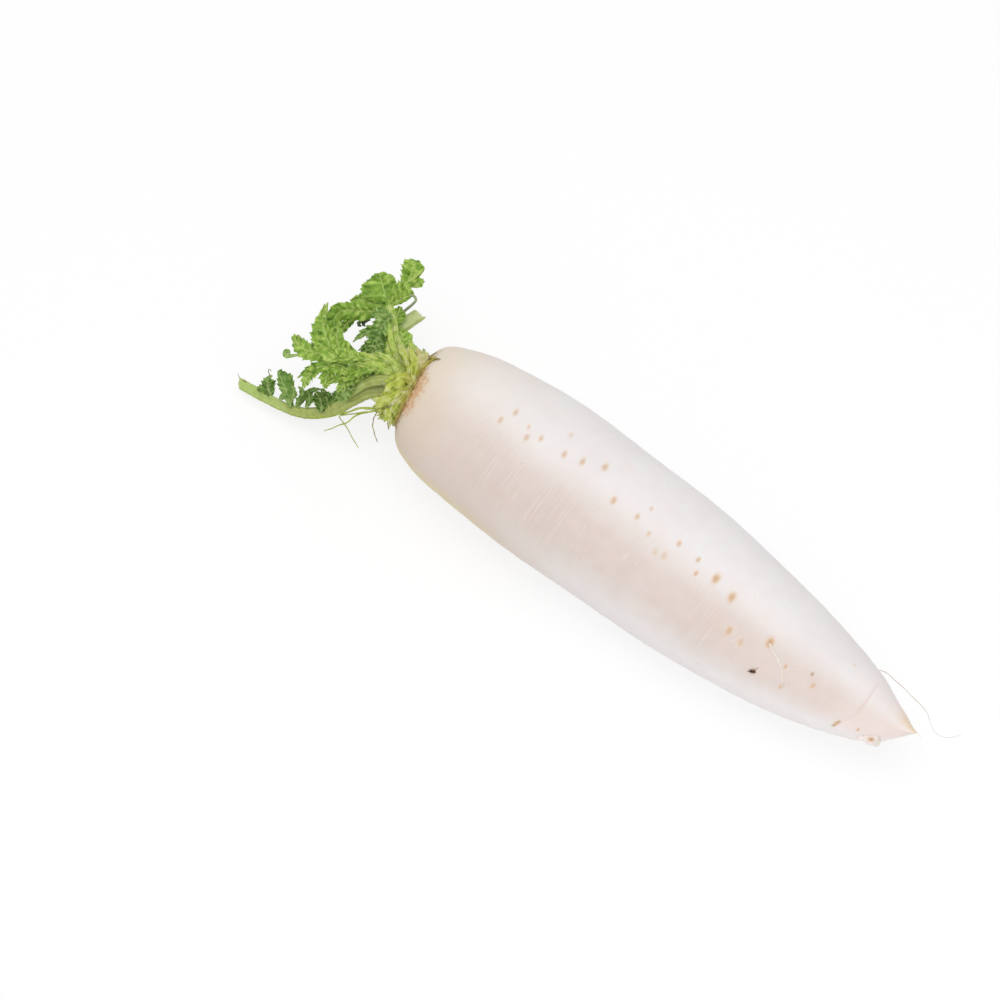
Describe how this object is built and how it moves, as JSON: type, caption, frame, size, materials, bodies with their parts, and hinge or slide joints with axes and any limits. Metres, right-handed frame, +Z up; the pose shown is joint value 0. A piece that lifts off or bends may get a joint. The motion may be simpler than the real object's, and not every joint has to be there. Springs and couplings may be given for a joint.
{
  "type": "long white radish with trimmed leaves",
  "caption": "Long white daikon-type radish lying on its side, a blunt crown at one end with a tuft of trimmed, toothed green leaves and stalks, and a pointed tip with a fine root hair.",
  "frame": {"origin": "on the resting surface, in the middle of the flat strip of the root's belly that it lies on", "axes": "+X towards the root's tip, -X towards the crown and its leaves, +Z up"},
  "size_m": [0.3875, 0.0886, 0.076],
  "materials": {
    "skin": "smooth, slightly waxy white root skin over translucent flesh",
    "stalk": "ridged pale green stalk, satin",
    "leaf": "crinkled fresh green leaf with paler veins",
    "dark_leaf": "crinkled dark green leaf",
    "fibre": "thin peeled stalk fibre",
    "rootlet": "fine dry rootlet",
    "dry_scale": "dried yellow-brown scale"
  },
  "bodies": {
    "root": {"root": "skin", "leaf_long": "stalk", "leaf_broad": "leaf", "leaf_upright": "leaf", "leaf_dark": "dark_leaf", "leaf_right": "leaf", "stalk_cut": "stalk", "stalk_pale": "stalk", "stalk_inner_1": "stalk", "stalk_inner_2": "stalk", "stalk_inner_3": "stalk", "stalk_inner_4": "stalk", "stalk_base_1": "stalk", "stalk_base_2": "stalk", "stalk_base_3": "stalk", "stalk_base_4": "stalk", "stalk_base_5": "stalk", "stalk_base_6": "stalk", "stalk_base_7": "stalk", "stalk_base_8": "stalk", "fibre_1": "fibre", "fibre_2": "fibre", "fibre_3": "fibre", "fibre_4": "fibre", "dry_scale": "dry_scale", "side_rootlet": "rootlet", "tip_rootlet": "rootlet"}
  },
  "joints": []
}
